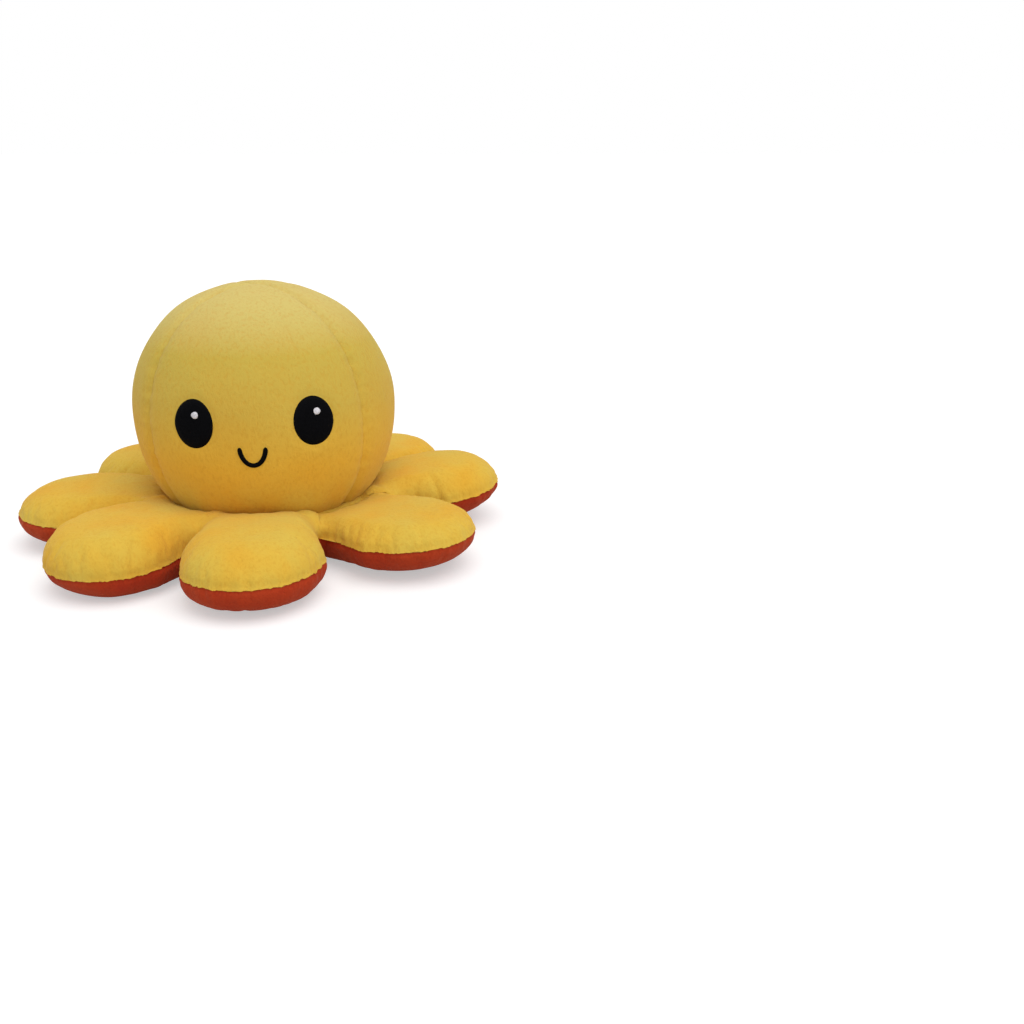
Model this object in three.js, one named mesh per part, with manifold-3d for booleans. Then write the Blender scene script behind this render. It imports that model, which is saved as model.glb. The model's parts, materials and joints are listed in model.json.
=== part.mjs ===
// Plush octopus that turns inside out, 200 mm across and 104 mm tall, resting yellow side out.
// Millimetres, +Z up, the face looks along -Y. Azimuth 0 is the front and grows towards +X.
// The origin is on the floor, under the middle of the toy.
import * as THREE from 'three';
import { mergeVertices } from 'three/addons/utils/BufferGeometryUtils.js';
import Module from 'manifold-3d';

const wasm = await Module();
wasm.setup();

// Cloth and the room that sewn layers keep to each other
const clothThickness = 2;
const layerGap = 0.3;
const seamGap = 0.3;
const floorCut = 0.5;

// Head, a stuffed ball a little fuller than a sphere, sewn from four gores
const headRadius = 51.6;
const headHalfHeight = 51;
const headCentreHeight = 52.5;
const headFullness = 2.12;
const neckHeight = 21;
const poleRadius = 1.2;
const frontGoreAngle = 103;
const sideGoreAngle = 180 - frontGoreAngle;

// Pocket inside the head, which the toy is turned through
const mouthRadius = 22;
const mouthRounding = 5;
const mouthHeight = 10;
const rimEdgeHeight = 1.5;
const pocketRadius = 30;
const pocketWidestHeight = 38;
const pocketTopHeight = 76;
const pocketFullness = 2.2;

// Tentacles: the crease they swing about, their outline and their stuffing
const creaseOffset = 3.2;
const hingeHeight = 19;
const tipRadius = 100;
const lobeRadius = 73;
const lobeHalfWidth = 26.4;
const lobeTaperShare = 0.235;
const seamHeight = 12;
const crownHeight = 24;
const topFullness = 2.2;
const rootFullness = 5;
const baseFullness = 2.5;
const droopAngle = 15;
const liftAngle = 50;
const swingMargin = 2;
const rootBackAngle = 30;
const cleftGap = 0.4;
const rootDropPower = 1.5;
const cutReach = 3 * tipRadius;

// Where each tentacle lies round the head and how far its stuffing holds it off the floor
const tentacles = [
  { name: 'tentacle_front', azimuth: 0, lift: 0 },
  { name: 'tentacle_front_right', azimuth: 50, lift: 3 },
  { name: 'tentacle_right', azimuth: 96, lift: 4 },
  { name: 'tentacle_back_right', azimuth: 140, lift: 1 },
  { name: 'tentacle_back', azimuth: 185, lift: 0 },
  { name: 'tentacle_back_left', azimuth: 229, lift: 0 },
  { name: 'tentacle_left', azimuth: 272, lift: 0 },
  { name: 'tentacle_front_left', azimuth: 316, lift: 0 },
];

// Embroidery
const threadThickness = 0.8;
const hollowRoom = 0.7;
const eyeAzimuth = 25;
const eyeHeight = 58;
const eyeHalfWidth = 7.8;
const eyeHalfHeight = 9.3;
const glintRadius = 1.5;
const glintSideways = 1;
const glintRise = 3.6;
const patchFlatShare = 0.9;
const patchMiddleShare = 0.5;
const patchEdgeShare = 0.75;
const mouthLineWidth = 1.8;
const lineEndShare = 0.6;
const smileHalfWidth = 4.7;
const smileDepth = 7.3;
const smileHeight = 49.1;
const angryEyeAzimuth = 36;
const angryEyeHeight = 42;
const angryEyeHalfWidth = 7.6;
const angryEyeHalfHeight = 8.4;
const browHeight = 4.6;
const browSlope = 0.2;
const angryGlintSideways = 3.4;
const angryGlintRise = 0.6;
const frownHalfWidth = 5;
const frownRise = 6.7;
const frownHeight = 23;

// Facets
const gorePoints = 10;
const frontGoreColumns = 9;
const sideGoreColumns = 7;
const revolveSegments = 32;
const arcPoints = 4;
const skinSteps = { top: 8, base: 6 };
const fillingSteps = { top: 5, base: 4 };
const patchSpokes = 14;
const lineSteps = 10;
const tipAngles = [0, 30, 52, 69, 81];

const material = (color, roughness) => new THREE.MeshStandardMaterial({ color, roughness, metalness: 0 });
const yellowPlush = material('#e0bb4e', 0.95);
const orangePlush = material('#c65026', 0.95);
const fibre = material('#f2efe8', 1);
const blackThread = material('#0b0b10', 0.6);
const whiteThread = material('#eae6ea', 0.6);

const degrees = THREE.MathUtils.degToRad;
const toy = new THREE.Group();

// Shapes from points, and joins and cuts between closed shapes

function closedGeometry(points, triangles) {
  const geometry = new THREE.BufferGeometry();
  const numbers = points.flatMap((p) => [p.x, p.y, p.z]);
  geometry.setAttribute('position', new THREE.Float32BufferAttribute(numbers, 3));
  geometry.setIndex(triangles.flat());
  return geometry;
}

function toSolid(geometry) {
  const bare = geometry.clone();
  for (const name of ['normal', 'uv']) bare.deleteAttribute(name);
  const merged = mergeVertices(bare);
  return new wasm.Manifold(new wasm.Mesh({
    numProp: 3,
    vertProperties: new Float32Array(merged.attributes.position.array),
    triVerts: new Uint32Array(merged.index.array),
  }));
}

function toGeometry(solid) {
  const mesh = solid.getMesh();
  const geometry = new THREE.BufferGeometry();
  geometry.setAttribute('position', new THREE.Float32BufferAttribute(mesh.vertProperties, mesh.numProp));
  geometry.setIndex([...mesh.triVerts]);
  return geometry;
}

function addPiece(parent, name, geometry, finish) {
  const piece = new THREE.Mesh(geometry, finish);
  piece.name = name;
  parent.add(piece);
  return piece;
}

// Skins over a row of closed loops with equally many points; a loop of one point closes to a tip
function loft(loops) {
  const points = loops.flat();
  const starts = [];
  let next = 0;
  for (const loop of loops) {
    starts.push(next);
    next += loop.length;
  }
  const triangles = [];
  for (let i = 0; i + 1 < loops.length; i += 1) {
    const count = Math.max(loops[i].length, loops[i + 1].length);
    for (let k = 0; k < count; k += 1) {
      const near = [k, (k + 1) % count].map((n) => starts[i] + (loops[i].length > 1 ? n : 0));
      const far = [k, (k + 1) % count].map((n) => starts[i + 1] + (loops[i + 1].length > 1 ? n : 0));
      if (near[0] !== near[1]) triangles.push([near[0], near[1], far[1]]);
      if (far[0] !== far[1]) triangles.push([near[0], far[1], far[0]]);
    }
  }
  const last = loops.length - 1;
  for (let k = 1; k + 1 < loops[0].length; k += 1) {
    triangles.push([starts[0], starts[0] + k + 1, starts[0] + k]);
  }
  for (let k = 1; k + 1 < loops[last].length; k += 1) {
    triangles.push([starts[last], starts[last] + k, starts[last] + k + 1]);
  }
  return closedGeometry(points, triangles);
}

function revolve(profile) {
  const geometry = new THREE.LatheGeometry(profile, revolveSegments);
  return geometry.rotateX(Math.PI / 2);
}

// Part of a revolve between two seams, each end flat and half a seam gap from the seam's plane
function gore(profile, middleAzimuth, angle, columns) {
  const loops = [];
  for (let j = 0; j <= columns; j += 1) {
    loops.push(profile.map((p) => {
      const half = degrees(angle / 2) - Math.asin(seamGap / 2 / p.x);
      const azimuth = degrees(middleAzimuth) + half * (2 * j / columns - 1);
      return new THREE.Vector3(p.x * Math.sin(azimuth), -p.x * Math.cos(azimuth), p.y);
    }));
  }
  const points = loops.flat();
  const count = profile.length;
  const triangles = [];
  for (let j = 0; j < columns; j += 1) {
    for (let k = 0; k < count; k += 1) {
      const a = j * count + k;
      const b = j * count + (k + 1) % count;
      triangles.push([a, a + count, b + count], [a, b + count, b]);
    }
  }
  for (const [a, b, c] of THREE.ShapeUtils.triangulateShape(profile, [])) {
    const end = columns * count;
    triangles.push([a, b, c], [end + a, end + c, end + b]);
  }
  return closedGeometry(points, triangles);
}

// Outlines of the head and its pocket, as radius over height

function headOutline(height, inset) {
  const share = Math.abs(height - headCentreHeight) / (headHalfHeight - inset);
  return (headRadius - inset) * (1 - Math.min(share, 1) ** headFullness) ** (1 / headFullness);
}

// How fast that outline widens with height
function headSlope(height) {
  const rise = height - headCentreHeight;
  const share = Math.abs(rise) / headHalfHeight;
  const steepness = (1 - share ** headFullness) ** (1 / headFullness - 1);
  return -Math.sign(rise) * headRadius / headHalfHeight * share ** (headFullness - 1) * steepness;
}

function pocketOutline(height, outset) {
  if (height >= pocketWidestHeight) {
    const share = (height - pocketWidestHeight) / (pocketTopHeight + outset - pocketWidestHeight);
    return (pocketRadius + outset) * (1 - Math.min(share, 1) ** pocketFullness) ** (1 / pocketFullness);
  }
  const share = (height - mouthHeight) / (pocketWidestHeight - mouthHeight);
  return mouthRadius + outset + (pocketRadius - mouthRadius) * Math.sin(share * Math.PI / 2);
}

// Heights that crowd towards the top, where a dome turns fastest
function domeHeights(bottom, top, count) {
  const heights = [];
  for (let i = 0; i <= count; i += 1) {
    heights.push(bottom + (top - bottom) * Math.sin(i / count * Math.PI / 2));
  }
  return heights;
}

const point = (radius, height) => new THREE.Vector2(radius, height);

function headCurve(inset, bottom, smallest) {
  const top = headCentreHeight + headHalfHeight - inset;
  const curve = domeHeights(bottom, top, gorePoints).map((z) => point(headOutline(z, inset), z));
  curve[gorePoints].x = smallest;
  return curve;
}

function pocketCurve(outset, bottom, smallest) {
  const curve = domeHeights(bottom, pocketTopHeight + outset, gorePoints)
    .map((z) => point(pocketOutline(z, outset), z));
  curve[gorePoints].x = smallest;
  return curve;
}

// Stuffed rim between the pocket's mouth and the tentacles: its outline goes round the rim of the
// mouth, along the floor and up the groove that the tentacles' roots turn in
const neckRadius = headOutline(neckHeight, 0);
const hingeRadius = neckRadius + creaseOffset;
const rootRadius = hingeHeight + floorCut;
const grooveAngle = degrees(180 + 90 - rootBackAngle - droopAngle - swingMargin);

function rimCurve(inset, innermost) {
  const curve = [point(mouthRadius + inset, mouthHeight)];
  const bend = mouthRounding - inset;
  const bendRadius = mouthRadius + mouthRounding;
  for (let i = 0; i <= arcPoints; i += 1) {
    const angle = i / arcPoints * Math.PI / 2;
    curve.push(point(bendRadius - bend * Math.cos(angle), mouthRounding - bend * Math.sin(angle)));
  }
  const radius = rootRadius + layerGap + inset;
  const foot = Math.max(inset, rimEdgeHeight);
  const first = Math.PI + Math.asin((hingeHeight - foot) / radius);
  if (foot > inset) curve.push(point(hingeRadius + radius * Math.cos(first), inset));
  const along = Math.sqrt(radius ** 2 - inset ** 2);
  const last = grooveAngle - Math.atan2(inset, along);
  for (let i = 0; i <= arcPoints; i += 1) {
    const angle = first + (last - first) * i / arcPoints;
    curve.push(point(hingeRadius + radius * Math.cos(angle), hingeHeight + radius * Math.sin(angle)));
  }
  const rise = (curve[curve.length - 1].y - hingeHeight) - (curve[curve.length - 1].x - innermost)
    * Math.tan(grooveAngle);
  curve.push(point(innermost, hingeHeight + rise));
  return curve;
}

// Head: four yellow gores, the fibre under them, four orange gores round the pocket, and two rings

function goreProfile(outer, inner) {
  return [...outer, ...inner.reverse()];
}

function addGores(name, profile, finish) {
  const sides = ['front', 'right', 'back', 'left'];
  sides.forEach((side, i) => {
    const wide = i % 2 === 0;
    const angle = wide ? frontGoreAngle : sideGoreAngle;
    const columns = wide ? frontGoreColumns : sideGoreColumns;
    addPiece(toy, `${name}_${side}`, gore(profile, i * 90, angle, columns), finish);
  });
}

function addHead() {
  const panel = goreProfile(
    headCurve(0, neckHeight, poleRadius),
    headCurve(clothThickness, neckHeight, poleRadius),
  );
  addGores('head_panel', panel, yellowPlush);

  const liningFoot = mouthHeight + layerGap;
  const lining = goreProfile(
    pocketCurve(clothThickness, liningFoot, poleRadius),
    pocketCurve(0, liningFoot, poleRadius),
  );
  addGores('pocket_lining', lining, orangePlush);

  const ringInner = neckRadius - clothThickness;
  const ringTop = neckHeight - layerGap;
  const grooveRise = (radius) => hingeHeight - (hingeRadius - radius) * Math.tan(grooveAngle);
  const neckRing = [
    point(ringInner, grooveRise(ringInner)),
    point(hingeRadius - layerGap, hingeHeight),
    point(neckRadius, ringTop),
    point(ringInner, ringTop),
    point(ringInner, grooveRise(ringInner)),
  ];
  addPiece(toy, 'neck_ring', revolve(neckRing), yellowPlush);

  const ringEdge = ringInner - layerGap;
  const rim = [...rimCurve(0, ringEdge), ...rimCurve(clothThickness, ringEdge).reverse()];
  addPiece(toy, 'mouth_rim', revolve([...rim, rim[0]]), orangePlush);

  const inside = clothThickness + layerGap;
  const filling = [
    ...pocketCurve(inside, liningFoot, 0).reverse(),
    ...rimCurve(inside, ringEdge),
    ...headCurve(inside, neckHeight, 0),
  ];
  addPiece(toy, 'head_filling', revolve(filling), fibre);
}

// Tentacles, each in a frame with its crease at the origin, +X outwards and +Y along the crease

// Pillow of one tentacle, its outline and both crowns drawn in by inset
function padShape(inset, steps) {
  const seam = seamHeight - hingeHeight;
  const middle = lobeRadius - hingeRadius;
  const back = -rootRadius;
  const crown = crownHeight - seamHeight - inset;
  const rootDrop = crownHeight - hingeHeight;
  const depth = seamHeight + floorCut - inset;
  const halfWidth = lobeHalfWidth - inset;
  const arc = (x, width, rise, fullness, count) => {
    const points = [];
    for (let k = 0; k < count; k += 1) {
      const angle = k / count * Math.PI;
      const across = Math.sign(Math.cos(angle)) * Math.abs(Math.cos(angle)) ** (2 / fullness);
      points.push(new THREE.Vector3(x, width * across, seam + rise * Math.sin(angle) ** (2 / fullness)));
    }
    return points;
  };
  const section = (x, width, top, base, fullness) => [
    ...arc(x, width, top, fullness, steps.top),
    ...arc(x, -width, -base, baseFullness, steps.base),
  ];
  const loops = [];
  for (const x of [back, 0, middle / 2]) {
    const share = (middle - x) / middle;
    const top = crown - rootDrop * share ** rootDropPower;
    const fullness = topFullness + (rootFullness - topFullness) * Math.min(share, 1);
    loops.push(section(x, halfWidth - lobeTaperShare * (middle - x), top, depth, fullness));
  }
  for (const angle of tipAngles.map(degrees)) {
    const x = middle + (tipRadius - lobeRadius - inset) * Math.sin(angle);
    const shrink = Math.cos(angle);
    loops.push(section(x, halfWidth * shrink, crown * shrink, depth * shrink, topFullness));
  }
  loops.push([new THREE.Vector3(middle + tipRadius - lobeRadius - inset, 0, seam)]);
  return toSolid(loft(loops));
}

// Everything a tentacle may fill at its root: outwards of the crease, and below it the round root
// that turns in the groove; flat on the floor
function rootRoom(inset) {
  const radius = rootRadius - inset;
  const backAngle = degrees(270 - rootBackAngle);
  const first = backAngle + Math.asin(inset / radius);
  const last = Math.PI + Math.asin((hingeHeight - inset) / radius);
  const outline = new THREE.Shape();
  outline.moveTo(cutReach, cutReach);
  outline.lineTo(inset, cutReach);
  outline.lineTo(inset, -inset * Math.tan(degrees(rootBackAngle / 2)));
  for (let i = 0; i <= arcPoints; i += 1) {
    const angle = first + (last - first) * i / arcPoints;
    outline.lineTo(radius * Math.cos(angle), radius * Math.sin(angle));
  }
  outline.lineTo(cutReach, inset - hingeHeight);
  const room = new THREE.ExtrudeGeometry(outline, { depth: cutReach, bevelEnabled: false });
  return toSolid(room.translate(0, 0, -cutReach / 2).rotateX(Math.PI / 2));
}

// Half the space up to the next tentacle, turned back by the angle that this one is swung by
function sideRoom(side, halfAngle, inset, swing) {
  const room = new THREE.BoxGeometry(2 * cutReach, cutReach, 2 * cutReach);
  room.translate(0, -side * (cutReach / 2 + inset), 0);
  room.rotateZ(side * degrees(halfAngle)).translate(-hingeRadius, 0, 0);
  return toSolid(room.rotateY(degrees(swing)));
}

// Everything above the floor, seen from a tentacle that is held up by lift
function floorRoom(inset, lift) {
  const room = new THREE.BoxGeometry(2 * cutReach, 2 * cutReach, cutReach);
  room.translate(0, 0, cutReach / 2 + inset - hingeHeight);
  return toSolid(room.rotateY(degrees(lift)));
}

function tentacleShape(inset, steps, lift, leftHalf, rightHalf) {
  let shape = padShape(inset, steps).intersect(rootRoom(inset)).intersect(floorRoom(inset, lift));
  for (const swing of [-droopAngle, 0, liftAngle]) {
    shape = shape.intersect(sideRoom(1, rightHalf, cleftGap / 2 + inset, swing));
    shape = shape.intersect(sideRoom(-1, leftHalf, cleftGap / 2 + inset, swing));
  }
  return shape;
}

// The part of a tentacle above its seam and outwards of the crease, smaller by clearance
function aboveSeam(clearance) {
  const room = new THREE.BoxGeometry(cutReach, cutReach, cutReach);
  const rise = seamHeight - hingeHeight;
  return toSolid(room.translate(cutReach / 2 + clearance, 0, cutReach / 2 + rise + clearance));
}

function addTentacle({ name, azimuth, lift }, leftHalf, rightHalf) {
  const inner = clothThickness + layerGap;
  const whole = tentacleShape(0, skinSteps, lift, leftHalf, rightHalf);
  const skin = whole.subtract(tentacleShape(clothThickness, fillingSteps, lift, leftHalf, rightHalf));
  const filling = tentacleShape(inner, fillingSteps, lift, leftHalf, rightHalf);
  const spot = new THREE.Group();
  spot.rotation.z = degrees(azimuth - 90);
  toy.add(spot);
  const swing = new THREE.Group();
  swing.position.set(hingeRadius, 0, hingeHeight);
  swing.rotation.y = -degrees(lift);
  spot.add(swing);
  addPiece(swing, `${name}_top`, toGeometry(skin.intersect(aboveSeam(seamGap / 2))), yellowPlush);
  addPiece(swing, `${name}_base`, toGeometry(skin.subtract(aboveSeam(-seamGap / 2))), orangePlush);
  addPiece(swing, `${name}_filling`, toGeometry(filling), fibre);
}

function addTentacles() {
  tentacles.forEach((tentacle, i) => {
    const before = tentacles[(i + tentacles.length - 1) % tentacles.length];
    const after = tentacles[(i + 1) % tentacles.length];
    const left = (tentacle.azimuth - before.azimuth + 360) % 360 / 2;
    const right = (after.azimuth - tentacle.azimuth + 360) % 360 / 2;
    addTentacle(tentacle, left, right);
  });
}

// Embroidery: thin pieces that follow the cloth. across and up are lengths along the surface,
// raised is the distance from it

function onHead(azimuth, height) {
  return (across, up, raised) => {
    const z = height + up;
    const slope = headSlope(z);
    const length = Math.hypot(1, slope);
    const turn = degrees(azimuth) + across / headOutline(height, 0);
    const out = headOutline(z, 0) + raised / length;
    return new THREE.Vector3(out * Math.sin(turn), -out * Math.cos(turn), z - raised * slope / length);
  };
}

function onPocket(azimuth, height) {
  return (across, up, raised) => {
    const z = height + up;
    const turn = degrees(azimuth) + across / pocketOutline(height, 0);
    const radius = pocketOutline(z, 0) - raised;
    return new THREE.Vector3(radius * Math.sin(turn), -radius * Math.cos(turn), z);
  };
}

const ellipse = (halfWidth, halfHeight) => (angle) => [
  halfWidth * Math.cos(angle),
  halfHeight * Math.sin(angle),
];

// Half-closed eye: an oval cut by a straight brow that falls towards the nose
const scowl = (side) => (angle) => {
  const across = angryEyeHalfWidth * Math.cos(angle);
  const up = angryEyeHalfHeight * Math.sin(angle);
  const brow = browHeight + side * browSlope * across;
  return [across, Math.min(up, brow)];
};

// Patch inside an outline given by angle, from the layer gap to the thread's top
function patch(place, outline, foot, inwards) {
  const ring = (share, raised) => {
    const loop = [];
    for (let k = 0; k < patchSpokes; k += 1) {
      const turn = (inwards ? -1 : 1) * k / patchSpokes * 2 * Math.PI;
      const [across, up] = outline(turn);
      loop.push(place(share * across, share * up, raised));
    }
    return loop;
  };
  const top = foot + threadThickness;
  return loft([
    [place(0, 0, foot)],
    ring(patchMiddleShare, foot),
    ring(1, foot),
    ring(1, foot + patchEdgeShare * threadThickness),
    ring(patchFlatShare, top),
    ring(patchMiddleShare, top),
    [place(0, 0, top)],
  ]);
}

// Stitched line of even width along a bent path given from -1 to 1
function stitchedLine(place, path, foot, inwards) {
  const loops = [];
  const side = inwards ? 1 : -1;
  for (let i = 0; i <= lineSteps; i += 1) {
    const t = 2 * i / lineSteps - 1;
    const [across, up] = path(t);
    const before = path(t - 1 / lineSteps);
    const after = path(t + 1 / lineSteps);
    const along = new THREE.Vector2(after[0] - before[0], after[1] - before[1]).normalize();
    const half = mouthLineWidth / 2 * (i % lineSteps === 0 ? lineEndShare : 1);
    const edge = (sign, raised) => place(across - sign * half * along.y, up + sign * half * along.x, raised);
    const loop = [
      edge(-side, foot),
      edge(-side, foot + threadThickness / 2),
      edge(0, foot + threadThickness),
      edge(side, foot + threadThickness / 2),
      edge(side, foot),
    ];
    loops.push(loop);
  }
  return loft(loops);
}

function addHappyFace() {
  for (const [side, sign] of [['left', -1], ['right', 1]]) {
    const place = onHead(sign * eyeAzimuth, eyeHeight);
    const eye = patch(place, ellipse(eyeHalfWidth, eyeHalfHeight), layerGap);
    addPiece(toy, `happy_eye_${side}`, eye, blackThread);
    const glintPlace = (across, up, raised) => place(across + glintSideways, up + glintRise, raised);
    const glintFoot = 2 * layerGap + threadThickness;
    const glint = patch(glintPlace, ellipse(glintRadius, glintRadius), glintFoot);
    addPiece(toy, `happy_eye_glint_${side}`, glint, whiteThread);
  }
  const smile = (t) => [smileHalfWidth * Math.sin(t * Math.PI / 2), -smileDepth * Math.cos(t * Math.PI / 2)];
  addPiece(toy, 'happy_smile', stitchedLine(onHead(0, smileHeight), smile, layerGap), blackThread);
}

function addAngryFace() {
  for (const [side, sign] of [['left', -1], ['right', 1]]) {
    const place = onPocket(sign * angryEyeAzimuth, angryEyeHeight);
    addPiece(toy, `angry_eye_${side}`, patch(place, scowl(sign), hollowRoom, true), blackThread);
    const glintPlace = (across, up, raised) => place(
      across + angryGlintSideways,
      up + angryGlintRise,
      raised,
    );
    const glintFoot = hollowRoom + threadThickness + layerGap;
    const glint = patch(glintPlace, ellipse(glintRadius, glintRadius), glintFoot, true);
    addPiece(toy, `angry_eye_glint_${side}`, glint, whiteThread);
  }
  const frown = (t) => [frownHalfWidth * Math.sin(t * Math.PI / 2), frownRise * Math.cos(t * Math.PI / 2)];
  addPiece(toy, 'angry_frown', stitchedLine(onPocket(0, frownHeight), frown, hollowRoom, true), blackThread);
}

addHead();
addTentacles();
addHappyFace();
addAngryFace();

export default toy;
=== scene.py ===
"""Plush octopus that turns inside out, resting yellow side out.

Metres and degrees, +Z up, the face looks along -Y.
"""
import json
import math
from contextlib import contextmanager

import bpy
from mathutils import Matrix, Vector, noise
from mathutils.bvhtree import BVHTree
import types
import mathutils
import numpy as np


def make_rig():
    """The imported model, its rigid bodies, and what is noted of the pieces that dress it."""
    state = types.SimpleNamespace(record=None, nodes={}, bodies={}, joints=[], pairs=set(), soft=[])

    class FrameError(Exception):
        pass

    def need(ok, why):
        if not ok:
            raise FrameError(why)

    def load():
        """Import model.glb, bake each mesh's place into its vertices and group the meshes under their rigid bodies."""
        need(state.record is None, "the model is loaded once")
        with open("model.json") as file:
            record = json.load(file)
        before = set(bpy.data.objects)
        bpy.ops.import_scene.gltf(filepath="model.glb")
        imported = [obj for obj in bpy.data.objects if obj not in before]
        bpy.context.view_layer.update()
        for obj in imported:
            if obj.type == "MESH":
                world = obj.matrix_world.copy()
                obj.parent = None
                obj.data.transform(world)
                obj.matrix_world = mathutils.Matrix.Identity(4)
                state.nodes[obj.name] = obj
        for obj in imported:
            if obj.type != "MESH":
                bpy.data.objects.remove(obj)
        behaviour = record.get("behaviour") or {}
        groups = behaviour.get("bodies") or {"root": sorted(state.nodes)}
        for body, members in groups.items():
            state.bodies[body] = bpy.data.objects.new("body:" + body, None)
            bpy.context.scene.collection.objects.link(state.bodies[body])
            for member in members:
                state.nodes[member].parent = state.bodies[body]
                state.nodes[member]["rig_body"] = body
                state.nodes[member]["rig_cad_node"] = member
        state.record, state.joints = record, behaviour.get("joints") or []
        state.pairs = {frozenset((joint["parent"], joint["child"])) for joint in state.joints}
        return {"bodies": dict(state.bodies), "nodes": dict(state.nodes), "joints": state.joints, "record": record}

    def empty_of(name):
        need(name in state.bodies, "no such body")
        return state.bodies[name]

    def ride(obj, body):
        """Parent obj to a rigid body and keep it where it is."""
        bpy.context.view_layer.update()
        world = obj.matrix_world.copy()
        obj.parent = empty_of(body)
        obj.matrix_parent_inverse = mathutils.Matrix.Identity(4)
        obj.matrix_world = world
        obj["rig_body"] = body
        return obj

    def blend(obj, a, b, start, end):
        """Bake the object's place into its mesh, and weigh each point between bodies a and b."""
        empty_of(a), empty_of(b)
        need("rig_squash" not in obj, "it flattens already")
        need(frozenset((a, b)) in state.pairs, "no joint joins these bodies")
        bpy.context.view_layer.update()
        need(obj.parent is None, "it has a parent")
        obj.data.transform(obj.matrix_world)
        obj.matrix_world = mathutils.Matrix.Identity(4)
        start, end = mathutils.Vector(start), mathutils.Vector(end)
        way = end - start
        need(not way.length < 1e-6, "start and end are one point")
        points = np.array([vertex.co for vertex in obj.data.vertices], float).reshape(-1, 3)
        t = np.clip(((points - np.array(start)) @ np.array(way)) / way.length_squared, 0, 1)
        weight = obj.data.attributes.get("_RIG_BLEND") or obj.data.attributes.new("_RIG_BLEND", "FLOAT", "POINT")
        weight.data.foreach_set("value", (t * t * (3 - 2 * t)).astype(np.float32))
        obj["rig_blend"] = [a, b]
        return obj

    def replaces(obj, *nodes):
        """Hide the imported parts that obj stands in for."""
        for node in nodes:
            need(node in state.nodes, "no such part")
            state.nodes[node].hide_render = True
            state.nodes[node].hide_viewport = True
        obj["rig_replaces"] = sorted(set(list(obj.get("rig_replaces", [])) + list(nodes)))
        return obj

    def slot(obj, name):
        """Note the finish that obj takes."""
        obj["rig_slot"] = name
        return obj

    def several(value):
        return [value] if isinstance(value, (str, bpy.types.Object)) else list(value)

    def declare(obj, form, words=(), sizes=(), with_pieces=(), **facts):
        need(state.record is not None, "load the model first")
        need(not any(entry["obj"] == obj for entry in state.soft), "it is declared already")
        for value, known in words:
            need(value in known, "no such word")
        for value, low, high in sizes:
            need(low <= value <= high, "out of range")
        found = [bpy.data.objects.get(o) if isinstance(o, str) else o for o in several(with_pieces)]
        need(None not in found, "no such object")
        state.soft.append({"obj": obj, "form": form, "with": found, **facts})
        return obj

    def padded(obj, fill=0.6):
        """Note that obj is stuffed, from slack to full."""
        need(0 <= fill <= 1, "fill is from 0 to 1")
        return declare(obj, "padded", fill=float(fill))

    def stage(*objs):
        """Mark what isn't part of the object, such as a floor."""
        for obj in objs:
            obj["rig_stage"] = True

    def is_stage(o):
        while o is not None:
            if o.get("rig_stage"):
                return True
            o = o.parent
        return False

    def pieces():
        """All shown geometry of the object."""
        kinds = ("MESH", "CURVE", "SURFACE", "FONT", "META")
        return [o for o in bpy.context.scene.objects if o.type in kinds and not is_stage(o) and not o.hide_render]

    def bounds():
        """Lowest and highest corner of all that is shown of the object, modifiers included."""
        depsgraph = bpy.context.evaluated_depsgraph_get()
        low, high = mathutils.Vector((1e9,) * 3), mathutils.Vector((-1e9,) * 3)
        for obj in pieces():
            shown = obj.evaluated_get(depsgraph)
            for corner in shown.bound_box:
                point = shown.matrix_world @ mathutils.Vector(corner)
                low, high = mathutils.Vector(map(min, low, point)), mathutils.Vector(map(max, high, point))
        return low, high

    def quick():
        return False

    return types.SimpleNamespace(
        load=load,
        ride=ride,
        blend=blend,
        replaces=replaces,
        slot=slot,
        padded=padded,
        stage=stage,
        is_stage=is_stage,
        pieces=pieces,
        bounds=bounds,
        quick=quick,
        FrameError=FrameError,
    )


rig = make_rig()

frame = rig.load()
cad_low, cad_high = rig.bounds()

MM = 0.001
UP = Vector((0, 0, 1))
SIDES = ("front", "right", "back", "left")

# Head: a stuffed ball a little fuller than a sphere, sewn from four gores
HEAD_RADIUS = 51.6 * MM
HEAD_HALF_HEIGHT = 51 * MM
HEAD_CENTRE = 52.5 * MM
HEAD_FULLNESS = 2.12
HEAD_SWAY = 0.9 * MM
HEAD_FOOT = 14 * MM
FRONT_GORE = 103
GORE_SEAMS = (FRONT_GORE / 2, 180 - FRONT_GORE / 2)
NECK_HEIGHT = 16 * MM
NECK_RADIUS = 40 * MM
NECK_HALF_WIDTH = 2.2 * MM
NECK_GATHER = 0.01
HEAD_PRESSURE = 6
HEAD_SWELL = 0.8 * MM
HEAD_SLACK = 0.02
HELD_AT_SEAM = 0.6 * MM
HELD_AT_FOOT = 1.5 * MM

# Pocket inside the head and the stuffed rim round its mouth
POCKET_RADIUS = 30 * MM
POCKET_MIDDLE = 38 * MM
POCKET_TOP = 76 * MM
POCKET_FULLNESS = 2.2
MOUTH_RADIUS = 22 * MM
MOUTH_HEIGHT = 10 * MM
RIM_RADIUS = 30.8 * MM
RIM_HALF_WIDTH = 8.6 * MM
RIM_HALF_HEIGHT = 8.4 * MM
RIM_SINK = 0.4 * MM
RIM_PULL = 0.7 * MM
RIM_RIPPLE = 0.3 * MM
RIM_WANDER = 9 * MM
GATHERS = 44
POCKET_GATHER = 0.9 * MM

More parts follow.
